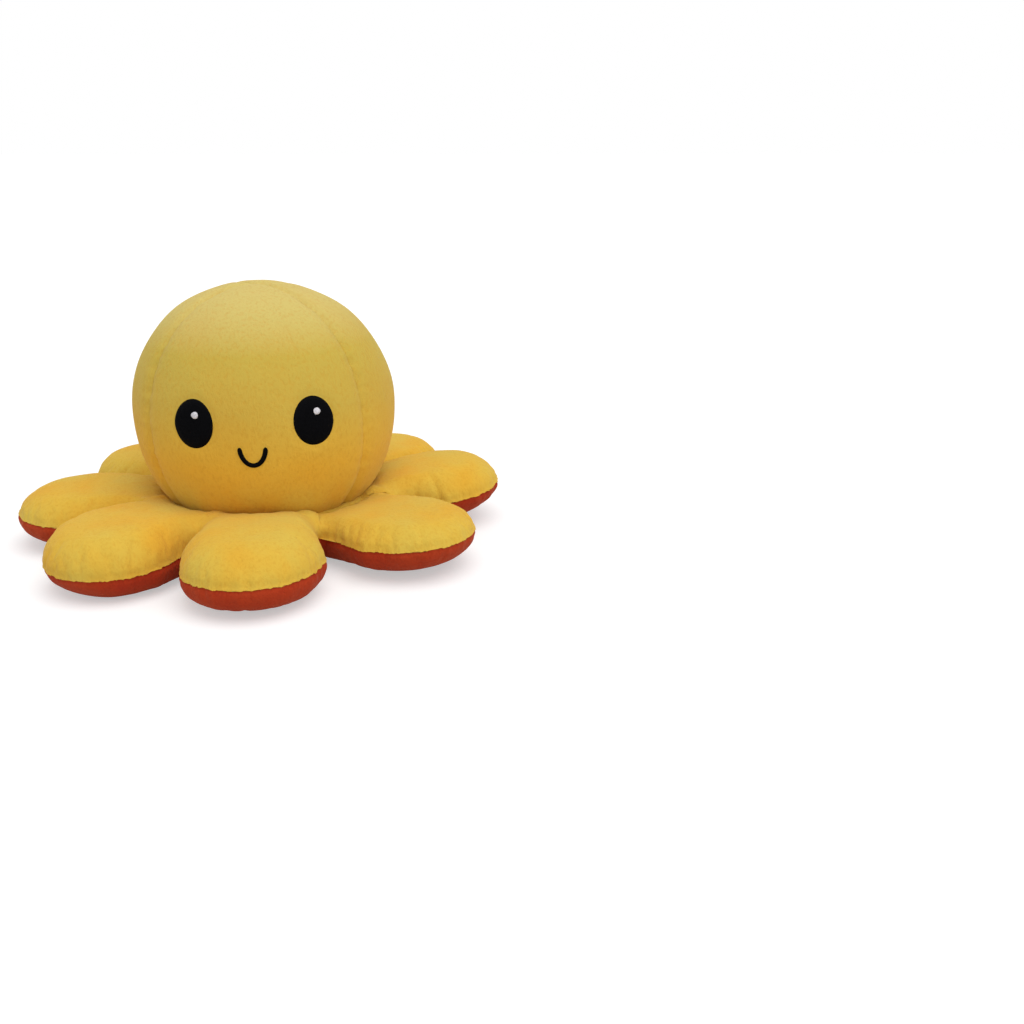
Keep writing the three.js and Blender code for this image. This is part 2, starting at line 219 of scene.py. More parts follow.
# Tentacles
SEAM_HEIGHT = 12 * MM
LIFT_LIMIT = 50
CREASE_BEFORE = 5 * MM
CREASE_AFTER = 9 * MM
CREASE_ROWS = 8
CROWN = 12 * MM
TOP_FULLNESS = 1.35
TOP_FULL, REACH, BASE_FULL, SEAM_LIFT = range(4)
LOBE_SHAPES = {
    # Fullness of the top, reach, fullness of the base, lift of the seam
    "tentacle_front": (1.0, 1.0, 1.0, 1.6),
    "tentacle_front_right": (0.6, 1.0, 0.85, 0.5),
    "tentacle_right": (0.9, 0.95, 0.6, 2),
    "tentacle_back_right": (0.66, 1.0, 1.0, 0),
    "tentacle_back": (0.95, 1.0, 1.0, 0),
    "tentacle_back_left": (0.84, 1.03, 1.0, 0),
    "tentacle_left": (0.8, 1.02, 0.8, 2.5),
    "tentacle_front_left": (0.97, 1.0, 1.0, -1.5),
}
LOBE_BLEND = 12
ROOT_RADIUS = 45 * MM
TIP_RADIUS = 90 * MM
BASE_REST = 10 * MM
VALLEY_FILL = 1.8 * MM
VALLEY_DEPTH = 1.5 * MM
VALLEY_REACH = (50 * MM, 62 * MM)
VALLEY_WIDTH = 4 * MM
VALLEY_START = 3 * MM
CLEFT_HALF_GAP = 2.2 * MM
CLEFT_REACH = (54 * MM, 62 * MM)
CLEFT_EASE = 4 * MM
PLUMP = 0.8 * MM
COLLAR_RADIUS = 43 * MM
COLLAR_HEIGHT = 11 * MM
COLLAR_HALF_WIDTH = 9 * MM
COLLAR_HALF_HEIGHT = 7.2 * MM
RING_VOXEL = 1.5 * MM
RING_PRESSURE = 6
RING_SWELL = 1.5 * MM
RING_SLACK = 0.03
RING_HELD = 0.6 * RING_VOXEL

# Cloth and its seams
CLOTH = 1.6 * MM
SEAM_DEPTH = 0.6 * MM
HEAD_SEAM_DEPTH = 0.7 * MM
POCKET_SEAM_DEPTH = 0.6 * SEAM_DEPTH
SEAM_WIDTH = 1.5 * MM
PUCKER = 0.5 * MM
PUCKER_PITCH = 3 * MM
PUCKER_LENGTH = 4 * MM
PUCKER_FADE = (4 * MM, 12 * MM)
CREASE_RADIUS = 43 * MM
CREASE_HEIGHT = 20 * MM
GATHER = 0.45 * MM
GATHER_PITCH = 4 * MM
GATHER_LENGTH = 6 * MM
TUFT = 0.5 * MM
TUFT_PITCH = 0.9 * MM
TUFT_ROOM = 1.6 * MM
TUFT_OVERHANG = 0.55 * MM
TUFT_MEAN = 0.7
LUMPS = 0.7 * MM
TENTACLE_LUMPS = 0.5 * LUMPS
RIM_LUMPS = 0.3 * MM
LUMP_SIZE = 24 * MM
SIM_SCALE = 20
SIM_FRAMES = 20

# Pile and thread: the sizes of what shows in them, and the heights over which painted shade and a painted highlight
# lie on the yellow
BRUSHED_PATCH = 22 * MM
PILE_TUFT = 1.1 * MM
PILE_FIBRE = 0.35 * MM
PILE_DEPTHS = (0.8 * MM, 0.3 * MM, 0.12 * MM)
TWIST = 0.3 * MM
TWIST_DEPTH = 0.06 * MM
PAINTED_LIGHT_HEIGHTS = (26 * MM, 104 * MM)
PAINTED_LIGHT_FADE_HEIGHTS = (24 * MM, 40 * MM)
PAINTED_LIGHT_SHARE = 0.7

# Embroidery
THREAD = 0.45 * MM
THREAD_RIDGE = 0.16 * MM
LINE_RIDGE = 0.12 * MM
WELD = 0.005 * MM
EYE_LOFT = 0.75 * MM
GLINT_LOFT = 0.4 * MM
LINE_LOFT = 0.5 * MM
HAPPY_THREADS = 36
ANGRY_THREADS = 34
GLINT_THREADS = 7
LINE_THREADS = 44
LINE_STEP = 0.01
LINE_ROUNDED_FROM = 0.86
EYE_TURNS = {"left": -24.6, "right": 25.5}
EYE_HEIGHT = 58.3 * MM
EYE_HALF = (7.9 * MM, 9.2 * MM)
EYE_TILTS = {"left": -3, "right": 1}
GLINT_HALF = (1.3 * MM, 1.3 * MM)
GLINT_SHIFT = (1.2 * MM, 3.6 * MM)
SMILE_HALF = 4.7 * MM
SMILE_DEPTH = 7 * MM
SMILE_TURN = -0.4
SMILE_HEIGHT = 50.1 * MM
LINE_WIDTH = 1.8 * MM
DENT = 0.5 * MM
DENT_WIDTH = 1.4 * MM
ANGRY_TURN = 36
ANGRY_HEIGHT = 42 * MM
ANGRY_HALF = (7.6 * MM, 8.4 * MM)
ANGRY_GLINT = (3.4 * MM, 0.6 * MM)
BROW_HEIGHT = 4.6 * MM
BROW_SLOPE = 0.2
FROWN_HALF = 5 * MM
FROWN_RISE = 6.7 * MM
FROWN_HEIGHT = 23 * MM

# Camera, fitted to the photograph, and the light
CAMERA_PLACE = (0.0520, -0.4400, 0.1542)
CAMERA_DOWN = 18.79
CAMERA_RIGHT = 6.57
SENSOR = 36
FOCAL_PIXELS = 1068.27
PHOTO_PIXELS = 1024
FLOOR_SIZE = 60
FLOOR_GREY = 0.65
FLOOR_GLOW = 0.45
WORLD_LIGHT = 0.46
SUNS = {
    # Tilt from straight down, heading from the front towards +X, softness, strength
    "top_light": (20, 45, 60, 1.5),
    "front_light": (70, 35, 90, 0.5),
    "left_light": (75, -70, 90, 0.25),
    "back_light": (65, 200, 90, 0.3),
}


# Working on one object at a time

def only(piece):
    bpy.ops.object.select_all(action="DESELECT")
    piece.select_set(True)
    bpy.context.view_layer.objects.active = piece


def added(name):
    piece = bpy.context.object
    piece.name = piece.data.name = name
    return piece


def to_origin(piece):
    only(piece)
    bpy.ops.object.transform_apply(location=True, rotation=True, scale=True)


def finish_with(piece, kind, **settings):
    only(piece)
    modifier = piece.modifiers.new(kind.lower(), kind)
    for key, value in settings.items():
        setattr(modifier, key, value)
    bpy.ops.object.modifier_apply(modifier=modifier.name)


def copy_of(piece, name):
    twin = bpy.data.objects.new(name, piece.data.copy())
    bpy.context.scene.collection.objects.link(twin)
    return twin


def joined(pieces, name):
    only(pieces[0])
    for piece in pieces[1:]:
        piece.select_set(True)
    bpy.ops.object.join()
    return added(name)


def reshape(piece, place):
    """Moves each point to place(point)."""
    for vertex in piece.data.vertices:
        vertex.co = place(vertex.co.copy())
    piece.data.update()


def reshape_along(piece, place):
    """Moves each point to place(point, normal), by the normals from before any point moved."""
    for vertex, normal in [(v, v.normal.copy()) for v in piece.data.vertices]:
        vertex.co = place(vertex.co.copy(), normal)
    piece.data.update()


@contextmanager
def editing(piece):
    """Edit mode, with all of the piece selected."""
    only(piece)
    bpy.ops.object.mode_set(mode="EDIT")
    bpy.ops.mesh.select_all(action="SELECT")
    yield
    bpy.ops.object.mode_set(mode="OBJECT")


def cut(piece, at, normal, keep_above, close=True):
    """Cuts the piece by a plane and keeps one side of it."""
    with editing(piece):
        bpy.ops.mesh.bisect(
            plane_co=at, plane_no=normal, use_fill=close, clear_inner=keep_above, clear_outer=not keep_above
        )


def score(piece, at, normal):
    """Adds a row of edges where a plane meets the piece."""
    with editing(piece):
        bpy.ops.mesh.bisect(plane_co=at, plane_no=normal)


def score_rows(piece, start, end, rows):
    """Adds rows of edges across the piece from start to end, so that its flat faces bend too."""
    with editing(piece):
        for row in range(rows + 1):
            bpy.ops.mesh.select_all(action="SELECT")
            bpy.ops.mesh.bisect(plane_co=start.lerp(end, row / rows), plane_no=end - start)


def shade_soft(piece, sharpest=None):
    """Smooth all over, or up to an angle between faces in degrees."""
    only(piece)
    if sharpest is None:
        bpy.ops.object.shade_smooth()
    else:
        bpy.ops.object.shade_smooth_by_angle(angle=math.radians(sharpest))


# Places, turns and curves

def around(turn, radius, height):
    """Point at a turn from the front towards +X."""
    angle = math.radians(turn)
    return Vector((radius * math.sin(angle), -radius * math.cos(angle), height))


def turn_of(point):
    return math.degrees(math.atan2(point.x, -point.y))


def turn_between(first, last):
    """The shorter way round from one turn to another."""
    return (last - first + 180) % 360 - 180


def bump_curve(distance, width):
    """One at no distance, falling smoothly to nothing a few widths away."""
    return math.exp(-(distance / width) ** 2)


def share_of(value, first, last):
    """How far a value has come from first, none, to last, one."""
    return max(0.0, min(1.0, (value - first) / (last - first)))


def gathers(point, away):
    """Small folds that run out from the crease under the head."""
    folds = noise.noise(around(turn_of(point), CREASE_RADIUS, 0) / GATHER_PITCH)
    return GATHER * folds * bump_curve(away, GATHER_LENGTH)


# Finishes

def new_finish(name):
    finish = bpy.data.materials.new(name)
    finish.use_nodes = True
    nodes = finish.node_tree.nodes
    return finish, nodes, finish.node_tree.links, nodes["Principled BSDF"]


def grain(nodes, links, size, stretch, detail, rough=0.5):
    """Noise on the object's own coordinates, with features of about the size given."""
    coordinates = nodes.new("ShaderNodeTexCoord")
    mapping = nodes.new("ShaderNodeMapping")
    mapping.inputs["Scale"].default_value = stretch
    texture = nodes.new("ShaderNodeTexNoise")
    texture.inputs["Scale"].default_value = 1 / size
    texture.inputs["Detail"].default_value = detail
    texture.inputs["Roughness"].default_value = rough
    links.new(coordinates.outputs["Object"], mapping.inputs["Vector"])
    links.new(mapping.outputs["Vector"], texture.inputs["Vector"])
    return texture.outputs["Fac"]


def ramp(nodes, links, value, stops):
    """Colour by value, from (position, colour) stops."""
    node = nodes.new("ShaderNodeValToRGB")
    elements = node.color_ramp.elements
    while len(elements) < len(stops):
        elements.new(0.5)
    for element, (position, colour) in zip(elements, stops):
        element.position = position
        element.color = (*colour, 1)
    links.new(value, node.inputs["Fac"])
    return node.outputs["Color"]


def mixed(nodes, links, share, first, second):
    """The first colour where the share is none, the second where it is one."""
    node = nodes.new("ShaderNodeMix")
    node.data_type = "RGBA"
    links.new(share, node.inputs["Factor"])
    for socket, value in (("A", first), ("B", second)):
        found = [i for i in node.inputs if i.name == socket and i.type == "RGBA"][0]
        if isinstance(value, tuple):
            found.default_value = (*value, 1)
        else:
            links.new(value, found)
    return [o for o in node.outputs if o.type == "RGBA"][0]


def by_height(nodes, links, low, high):
    """None at a height of low, one at high."""
    coordinates = nodes.new("ShaderNodeTexCoord")
    parts = nodes.new("ShaderNodeSeparateXYZ")
    level = nodes.new("ShaderNodeMapRange")
    level.interpolation_type = "SMOOTHSTEP"
    level.inputs["From Min"].default_value = low
    level.inputs["From Max"].default_value = high
    links.new(coordinates.outputs["Object"], parts.inputs["Vector"])
    links.new(parts.outputs["Z"], level.inputs["Value"])
    return level.outputs["Result"]


def raised_by(nodes, links, shader, layers):
    """Bump from several heights, each (value, depth)."""
    before = None
    for value, depth in layers:
        bump = nodes.new("ShaderNodeBump")
        bump.inputs["Strength"].default_value = 1.0
        bump.inputs["Distance"].default_value = depth
        links.new(value, bump.inputs["Height"])
        if before:
            links.new(before.outputs["Normal"], bump.inputs["Normal"])
        before = bump
    links.new(before.outputs["Normal"], shader.inputs["Normal"])


def short_pile(name, pale, lit, middle, deep, sheen_tint, rubbed=None):
    """Short plush pile: brushed patches, tufts, fibres, and painted shade and painted highlight by height where given.
    """
    finish, nodes, links, shader = new_finish(name)
    brushed = grain(nodes, links, BRUSHED_PATCH, (1, 1, 0.8), 3.0, 0.5)
    tufts = grain(nodes, links, PILE_TUFT, (1, 1, 0.6), 3.0, 0.6)
    fibres = grain(nodes, links, PILE_FIBRE, (1, 1, 0.4), 2.0, 0.6)
    base = ramp(nodes, links, brushed, [(0.34, middle), (0.5, lit), (0.68, pale)])
    # Painted light: colours by height, faded in from the chin up, stand for shade and highlight on the head
    if rubbed:
        painted_tone = ramp(nodes, links, by_height(nodes, links, *PAINTED_LIGHT_HEIGHTS), rubbed)
        most = [(0, (0, 0, 0)), (1, (PAINTED_LIGHT_SHARE, PAINTED_LIGHT_SHARE, PAINTED_LIGHT_SHARE))]
        share = ramp(nodes, links, by_height(nodes, links, *PAINTED_LIGHT_FADE_HEIGHTS), most)
        base = mixed(nodes, links, share, base, painted_tone)
    dark = ramp(nodes, links, tufts, [(0.3, (0.3, 0.3, 0.3)), (0.52, (0, 0, 0))])
    colour = mixed(nodes, links, dark, base, deep)
    links.new(colour, shader.inputs["Base Color"])
    shader.inputs["Roughness"].default_value = 0.95
    shader.inputs["Specular IOR Level"].default_value = 0.1
    shader.inputs["Sheen Weight"].default_value = 0.16
    shader.inputs["Sheen Roughness"].default_value = 0.45
    shader.inputs["Sheen Tint"].default_value = (*sheen_tint, 1)
    raised_by(nodes, links, shader, zip((brushed, tufts, fibres), PILE_DEPTHS))
    return finish


def thread_finish(name, colour, shadow):
    """Twisted embroidery thread, matt."""
    finish, nodes, links, shader = new_finish(name)
    twist = grain(nodes, links, TWIST, (1, 1, 0.5), 2.0)
    links.new(ramp(nodes, links, twist, [(0.35, shadow), (0.65, colour)]), shader.inputs["Base Color"])
    shader.inputs["Roughness"].default_value = 0.6
    shader.inputs["Specular IOR Level"].default_value = 0.03
    raised_by(nodes, links, shader, [(twist, TWIST_DEPTH)])
    return finish


# Painted light on the yellow, from low to high: orange painted shade under the chin, a darker forehead for painted
# shade, a paler crown for a painted highlight
PAINTED_LIGHT_YELLOW = [
    (0.1, (0.86, 0.46, 0.040)),
    (0.45, (0.63, 0.43, 0.070)),
    (0.8, (0.55, 0.43, 0.08)),
    (1, (0.67, 0.58, 0.22)),
]
FINISHES = {
    "yellow_plush": short_pile(
        "yellow_pile", (0.73, 0.510, 0.078), (0.76, 0.480, 0.060), (0.78, 0.440, 0.045),
        (0.62, 0.28, 0.02), (1.0, 0.88, 0.55), PAINTED_LIGHT_YELLOW,
    ),
    "orange_plush": short_pile(
        "orange_pile", (0.47, 0.055, 0.016), (0.45, 0.043, 0.012), (0.42, 0.034, 0.012),
        (0.30, 0.018, 0.005), (1.0, 0.5, 0.3),
    ),
    "black_thread": thread_finish("black_stitching", (0.003, 0.003, 0.004), (0.0010, 0.0010, 0.0015)),
    "white_thread": thread_finish("white_stitching", (0.85, 0.83, 0.87), (0.6, 0.58, 0.62)),
}


def wear(piece, slot):
    piece.data.materials.clear()
    piece.data.materials.append(FINISHES[slot])
    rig.slot(piece, slot)


# Stuffing: cloth that swells between its seams

def stuff(piece, is_held, pressure, most, slack):
    """Cloth under pressure. Points that are held stay, and no point moves further than most.

    The solver suits bodies of a few metres, so the piece is larger while it runs.
    """
    held = piece.vertex_groups.new(name="held")
    held.add([v.index for v in piece.data.vertices if is_held(v.co)], 1.0, "REPLACE")
    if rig.quick():
        return
    start = [v.co.copy() for v in piece.data.vertices]
    piece.data.transform(Matrix.Scale(SIM_SCALE, 4))
    only(piece)
    modifier = piece.modifiers.new("cloth", "CLOTH")
    cloth = modifier.settings
    cloth.quality = 5
    cloth.mass = 0.3
    cloth.tension_stiffness = 15
    cloth.compression_stiffness = 10
    cloth.shear_stiffness = 5
    cloth.bending_stiffness = 0.2
    cloth.air_damping = 1
    cloth.use_pressure = True
    cloth.uniform_pressure_force = pressure
    cloth.shrink_min = -slack
    cloth.shrink_max = -slack
    cloth.vertex_group_mass = "held"
    cloth.effector_weights.gravity = 0
    modifier.point_cache.frame_start = 1
    modifier.point_cache.frame_end = SIM_FRAMES
    for step in range(1, SIM_FRAMES + 1):
        bpy.context.scene.frame_set(step)
    bpy.ops.object.modifier_apply(modifier="cloth")
    bpy.context.scene.frame_set(1)
    for vertex, before in zip(piece.data.vertices, start):
        moved = vertex.co / SIM_SCALE - before
        if moved.length > most:
            moved *= most / moved.length
        vertex.co = before + moved
    piece.data.update()


def lumps(point, depth=LUMPS):
    return depth * noise.noise(point / LUMP_SIZE)


# Tentacles: eight stuffed lobes on one collar, sewn in one go and then parted at the clefts

def seam_plane(joint):
    """Where the yellow top is sewn to the orange base: a point and the upward normal."""
    lift = math.radians(LIFT_LIMIT - joint["range_deg"][1] + LOBE_SHAPES[joint["child"]][SEAM_LIFT])
    normal = Matrix.Rotation(lift, 3, Vector(joint["axis"])) @ UP
    hinge = Vector(joint["pos_m"])
    return hinge - normal * (hinge.z - SEAM_HEIGHT), normal


def hinge_turn(joint):
    return turn_of(Vector(joint["pos_m"])) % 360


LOBES = sorted(((hinge_turn(joint), joint) for joint in frame["joints"]), key=lambda lobe: lobe[0])


def lobe_at(point):
    """The joint of the tentacle whose share of the ring holds this point."""
    turn = turn_of(point)
    return min(LOBES, key=lambda lobe: abs(turn_between(turn, lobe[0])))[1]


SEAMS = {joint["name"]: seam_plane(joint) for joint in frame["joints"]}
CLEFTS = [
    LOBES[i - 1][0] + (LOBES[i][0] - LOBES[i - 1][0]) % 360 / 2 for i in range(len(LOBES))
]


def above_seam(point):
    """How far a point lies above the seam of its tentacle, negative below it."""
    seam_at, seam_up = SEAMS[lobe_at(point)["name"]]
    return (point - seam_at).dot(seam_up)


def shape_at(point, column):
    """A value of the tentacles' shapes at a point, even across the clefts between them."""
    turn = turn_of(point)
    near = []
    for at, joint in LOBES:
        share = bump_curve(turn_between(turn, at), LOBE_BLEND)
        near.append((share, LOBE_SHAPES[joint["child"]][column]))
    return sum(share * value for share, value in near) / sum(share for share, value in near)


def cleft_distance(point):
    """How far a point lies from the nearest plane between two tentacles."""
    turn = turn_of(point)
    nearest = min(abs(turn_between(turn, cleft)) for cleft in CLEFTS)
    return math.hypot(point.x, point.y) * math.sin(math.radians(nearest))


def lobe_form(axis_turn, name):
    """Closed form round both skins of a tentacle, with room to its neighbours."""
    skins = [copy_of(frame["nodes"][f"{name}_{layer}"], name) for layer in ("top", "base")]
    form = joined(skins, f"{name}_form")
    with editing(form):
        bpy.ops.mesh.convex_hull()
        bpy.ops.mesh.subdivide(number_cuts=3)

    def draw_in(point):
        flat = math.hypot(point.x, point.y)
        room = CLEFT_HALF_GAP * share_of(flat, *CLEFT_REACH)
        room *= bump_curve(cleft_distance(point), CLEFT_EASE)
        aside = turn_between(axis_turn, turn_of(point))
        back = math.copysign(math.degrees(room / flat), aside) if flat > 0 else 0.0
        return around(turn_of(point) - back, flat, point.z)

    reshape(form, draw_in)
    return form


def collar_form():
    bpy.ops.mesh.primitive_torus_add(
        major_radius=COLLAR_RADIUS, minor_radius=COLLAR_HALF_WIDTH, major_segments=96, minor_segments=24
    )
    collar = added("collar")
    collar.scale.z = COLLAR_HALF_HEIGHT / COLLAR_HALF_WIDTH
    collar.location.z = COLLAR_HEIGHT
    to_origin(collar)
    return collar


def stuffed_ring():
    """All tentacles on their collar as one stuffed form, drawn in along the seam."""
    forms = [lobe_form(turn, joint["child"]) for turn, joint in LOBES]
    ring = joined([*forms, collar_form()], "tentacle_ring")
    finish_with(ring, "REMESH", mode="VOXEL", voxel_size=RING_VOXEL)
    finish_with(ring, "SMOOTH", factor=0.5, iterations=16)

    def fill_out(point):
        above = above_seam(point)
        flat = math.hypot(point.x, point.y)
        if above <= 0:
            full = 1 - (1 - shape_at(point, BASE_FULL)) * share_of(flat, ROOT_RADIUS, TIP_RADIUS)
        else:
            share = min(1.0, above / CROWN)
            full = shape_at(point, TOP_FULL) * CROWN * (1 - (1 - share) ** TOP_FULLNESS) / above
        point += SEAMS[lobe_at(point)["name"]][1] * (full - 1) * above
        out = (shape_at(point, REACH) - 1) * max(0.0, flat - ROOT_RADIUS)
        return point + around(turn_of(point), out, 0)

    def is_held(point):
        above = above_seam(point)
        flat = math.hypot(point.x, point.y)
        return abs(above) < RING_HELD or above < -BASE_REST or flat < COLLAR_RADIUS

    reshape(ring, fill_out)
    stuff(ring, is_held, RING_PRESSURE, most=RING_SWELL, slack=RING_SLACK)
    finish_with(ring, "SUBSURF", levels=1, render_levels=1)

    def sew(point, normal):
        above = above_seam(point)
        column = Vector((point.x, point.y, 0)) / PUCKER_PITCH
        depth = SEAM_DEPTH * bump_curve(above, SEAM_WIDTH)
        depth += PUCKER * noise.noise(column) * bump_curve(above, PUCKER_LENGTH)
        if above > 0:
            flat = math.hypot(point.x, point.y)
            valley = (VALLEY_DEPTH + VALLEY_FILL) * share_of(flat, *VALLEY_REACH) - VALLEY_FILL
            valley *= bump_curve(cleft_distance(point), VALLEY_WIDTH)
            depth += valley * share_of(above, 0, VALLEY_START)
            depth += gathers(point, flat - CREASE_RADIUS)
        point += normal * (PLUMP + lumps(point, TENTACLE_LUMPS) - depth)
        point.z = max(point.z, 0)
        return point

    reshape_along(ring, sew)
    return ring


def hang_tufts(half, joint):
    """Lets the pile of a tentacle's top hang over the seam in small uneven tufts."""
    seam_at, seam_up = SEAMS[joint["name"]]

    def hang(point, normal):
        above = (point - seam_at).dot(seam_up)
        if above < TUFT_ROOM:
            share = (1 - above / TUFT_ROOM) ** 2
            share *= share_of(cleft_distance(point), 0, TUFT_ROOM)
            column = Vector((point.x, point.y, 0)) / TUFT_PITCH
            drop = TUFT * (TUFT_MEAN + noise.noise(column) + 0.5 * noise.noise(column / 3))
            out = (normal - seam_up * normal.dot(seam_up)).normalized()
            point += (out * TUFT_OVERHANG - seam_up * drop) * share
        return point

    reshape_along(half, hang)


def add_tentacles():
    ring = stuffed_ring()
    layers = (("top", True, "yellow_plush"), ("base", False, "orange_plush"))
    for i, (turn, joint) in enumerate(LOBES):
        before, after = LOBES[i - 1][0], LOBES[(i + 1) % len(LOBES)][0]
        lobe = copy_of(ring, "lobe")
        cut(lobe, (0, 0, 0), around(turn - (turn - before) % 360 / 2 + 90, 1, 0), True)
        cut(lobe, (0, 0, 0), around(turn + (after - turn) % 360 / 2 + 90, 1, 0), False)
        name = joint["child"]
        hinge, outwards = Vector(joint["pos_m"]), around(turn, 1, 0)
        crease = hinge - outwards * CREASE_BEFORE, hinge + outwards * CREASE_AFTER
        for layer, above, slot in layers:
            half = copy_of(lobe, f"{name}_{layer}_plush")
            cut(half, *SEAMS[joint["name"]], above)
            score_rows(half, *crease, CREASE_ROWS)
            if above:
                hang_tufts(half, joint)
            shade_soft(half, sharpest=60)
            wear(half, slot)
            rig.replaces(half, f"{name}_{layer}", f"{name}_filling")
            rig.blend(half, "head", name, *crease)
            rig.padded(half, 0.8)
        bpy.data.objects.remove(lobe)
    bpy.data.objects.remove(ring)


# Head

def head_ball():
    bpy.ops.mesh.primitive_uv_sphere_add(segments=120, ring_count=80, radius=1)
    ball = added("head_ball")

    def place(point):
        height = max(-1.0, min(1.0, point.z))
        flat = math.hypot(point.x, point.y)
        full = (flat ** HEAD_FULLNESS + abs(height) ** HEAD_FULLNESS) ** (-1 / HEAD_FULLNESS)
        return Vector((
            HEAD_RADIUS * full * point.x,
            HEAD_RADIUS * full * point.y,
            HEAD_CENTRE + HEAD_HALF_HEIGHT * full * height,
        ))

    reshape(ball, place)
    cut(ball, (0, 0, HEAD_FOOT), UP, keep_above=True, close=False)
    return ball


def seam_distance(point):
    """How far a point of the head or the pocket lies from the nearest of the four seams."""
    radius = math.hypot(point.x, point.y)
    return min(radius * abs(math.sin(math.radians(abs(turn_of(point)) - seam))) for seam in GORE_SEAMS)


def dented(point):
    """How deep the eyes' stitches pull the head's cloth in at a point."""
    half_width, half_height = EYE_HALF
    depth = 0.0
    for turn in EYE_TURNS.values():
        across = math.radians(turn_of(point) - turn) * HEAD_RADIUS
        if abs(across) < 3 * half_width and point.y < 0:
            spread = math.hypot(across / half_width, (point.z - EYE_HEIGHT) / half_height)
            away = max(0.0, spread - 1) * half_width
            depth = max(depth, DENT * bump_curve(away, DENT_WIDTH))
    return depth


def parted(ball, name):
    """The four gores of a ball, each with its cloth's thickness."""
    gores = {}
    for i, side in enumerate(SIDES):
        gore = copy_of(ball, name.format(side))
        half = FRONT_GORE / 2 if i % 2 == 0 else 90 - FRONT_GORE / 2
        cut(gore, (0, 0, 0), around(90 * i - half + 90, 1, 0), True, close=False)
        cut(gore, (0, 0, 0), around(90 * i + half + 90, 1, 0), False, close=False)
        finish_with(gore, "SOLIDIFY", thickness=CLOTH, offset=-1, use_even_offset=False)
        shade_soft(gore)
        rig.ride(gore, "head")
        gores[side] = gore
    return gores


def sewn_gores(ball, pressure=None):
    """Scores the four seams and stuffs the ball between them, where a pressure is given."""
    for seam in GORE_SEAMS:
        for side in (-1, 1):
            score(ball, (0, 0, 0), around(side * seam + 90, 1, 0))
    foot = min(v.co.z for v in ball.data.vertices)

    def is_held(point):
        return seam_distance(point) < HELD_AT_SEAM or point.z < foot + HELD_AT_FOOT

    if pressure:
        stuff(ball, is_held, pressure, most=HEAD_SWELL, slack=HEAD_SLACK)
    finish_with(ball, "SUBSURF", levels=1, render_levels=1)


def add_head():
    ball = head_ball()
    sewn_gores(ball, HEAD_PRESSURE)

    def sew(point, normal):
        away = seam_distance(point)
        # The signs give each of the four seams a row of its own
        row = Vector((point.x > 0, point.y > 0, point.z / PUCKER_PITCH))
        puckers = PUCKER * noise.noise(row) * bump_curve(away, PUCKER_LENGTH)
        puckers *= share_of(math.hypot(point.x, point.y), *PUCKER_FADE)
        depth = HEAD_SEAM_DEPTH * bump_curve(away, SEAM_WIDTH) + puckers + dented(point)
        depth += gathers(point, point.z - CREASE_HEIGHT)
        return point + normal * (lumps(point) - depth)

    reshape_along(ball, sew)
    panels = parted(ball, "head_{}_plush")
    for side, panel in panels.items():
        wear(panel, "yellow_plush")
        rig.replaces(panel, f"head_panel_{side}", "head_filling")
        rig.padded(panel, 0.95)
    bpy.data.objects.remove(ball)
    return panels


def add_neck():
    """Gathered strip in the crease between head and tentacles."""
    bpy.ops.mesh.primitive_torus_add(
        major_radius=NECK_RADIUS, minor_radius=NECK_HALF_WIDTH, major_segments=192, minor_segments=12,
        location=(0, 0, NECK_HEIGHT),
    )
    neck = added("neck_ring_plush")
    to_origin(neck)

    def gather(point):
        pull = 1 + NECK_GATHER * math.cos(math.radians(turn_of(point)) * GATHERS)
        return Vector((point.x * pull, point.y * pull, point.z))

    reshape(neck, gather)
    shade_soft(neck)
    wear(neck, "yellow_plush")
    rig.replaces(neck, "neck_ring")
    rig.ride(neck, "head")


# Pocket: four orange gores and the stuffed rim round its mouth

def pocket_ball():
    bpy.ops.mesh.primitive_uv_sphere_add(segments=96, ring_count=64, radius=1)
    ball = added("pocket_ball")
    cut(ball, (0, 0, 0), UP, keep_above=True, close=False)

    def place(point):
        """The upper half of a fuller ball, narrower from its middle down to the gathered mouth."""
        flat = math.hypot(point.x, point.y)
        full = (flat ** POCKET_FULLNESS + max(point.z, 0) ** POCKET_FULLNESS) ** (-1 / POCKET_FULLNESS)
        height = MOUTH_HEIGHT + (POCKET_TOP - MOUTH_HEIGHT) * (full * point.z)
        below = max(0.0, (POCKET_MIDDLE - height) / (POCKET_MIDDLE - MOUTH_HEIGHT))
        narrow = (POCKET_RADIUS - MOUTH_RADIUS) * (1 - math.sin((1 - below) * math.pi / 2))
        gather = POCKET_GATHER * math.cos(GATHERS * math.radians(turn_of(point))) * below ** 1.5
        return around(turn_of(point), POCKET_RADIUS * (full * flat) - (narrow - gather), height)

    reshape(ball, place)
    with editing(ball):
        bpy.ops.mesh.flip_normals()
    return ball


def add_pocket():
    ball = pocket_ball()
    sewn_gores(ball)

    def sew(point, normal):
        depth = POCKET_SEAM_DEPTH * bump_curve(seam_distance(point), SEAM_WIDTH)
        return point + normal * (lumps(point) - depth)

    reshape_along(ball, sew)
    gores = parted(ball, "pocket_{}_plush")
    for side, gore in gores.items():
        wear(gore, "orange_plush")
        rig.replaces(gore, f"pocket_lining_{side}")
    bpy.data.objects.remove(ball)
    return gores


